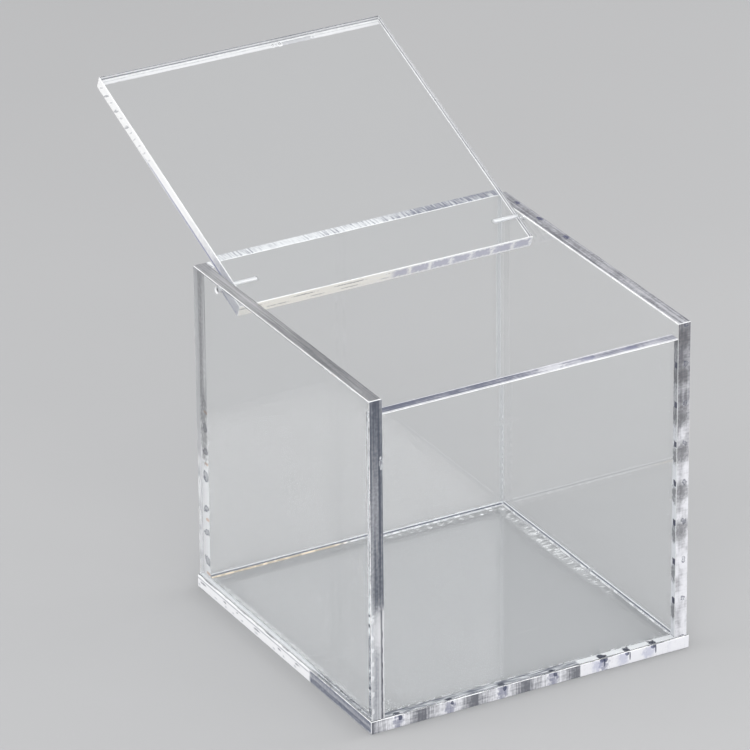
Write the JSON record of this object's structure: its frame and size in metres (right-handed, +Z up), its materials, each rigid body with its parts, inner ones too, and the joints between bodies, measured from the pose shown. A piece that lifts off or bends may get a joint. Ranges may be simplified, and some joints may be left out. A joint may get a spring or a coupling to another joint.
{
  "type": "acrylic storage box with hinged lid",
  "caption": "Cube-shaped clear acrylic box with a flat lid that turns on hidden steel pins near its back edge, shown leaning fully open.",
  "frame": {"origin": "centre of the base plate's underside, on the surface that the box stands on", "axes": "+X to the box's right seen from the front, +Y to its back, +Z up; the rest pose has the lid fully open, leaning back over the back wall"},
  "size_m": [0.101, 0.1665, 0.1317],
  "materials": {
    "clear_acrylic": "polished",
    "pin_steel": "polished"
  },
  "bodies": {
    "box": {"base_plate": "clear_acrylic", "left_wall": "clear_acrylic", "right_wall": "clear_acrylic", "front_wall": "clear_acrylic", "back_wall": "clear_acrylic", "left_hinge_pin": "pin_steel", "right_hinge_pin": "pin_steel"},
    "lid": {"lid_panel": "clear_acrylic"}
  },
  "joints": [
    {"name": "lid_hinge", "type": "hinge", "parent": "box", "child": "lid", "pos_m": [0, 0.036, 0.098], "axis": [1, 0, 0], "range_deg": [0, 158.38]}
  ]
}
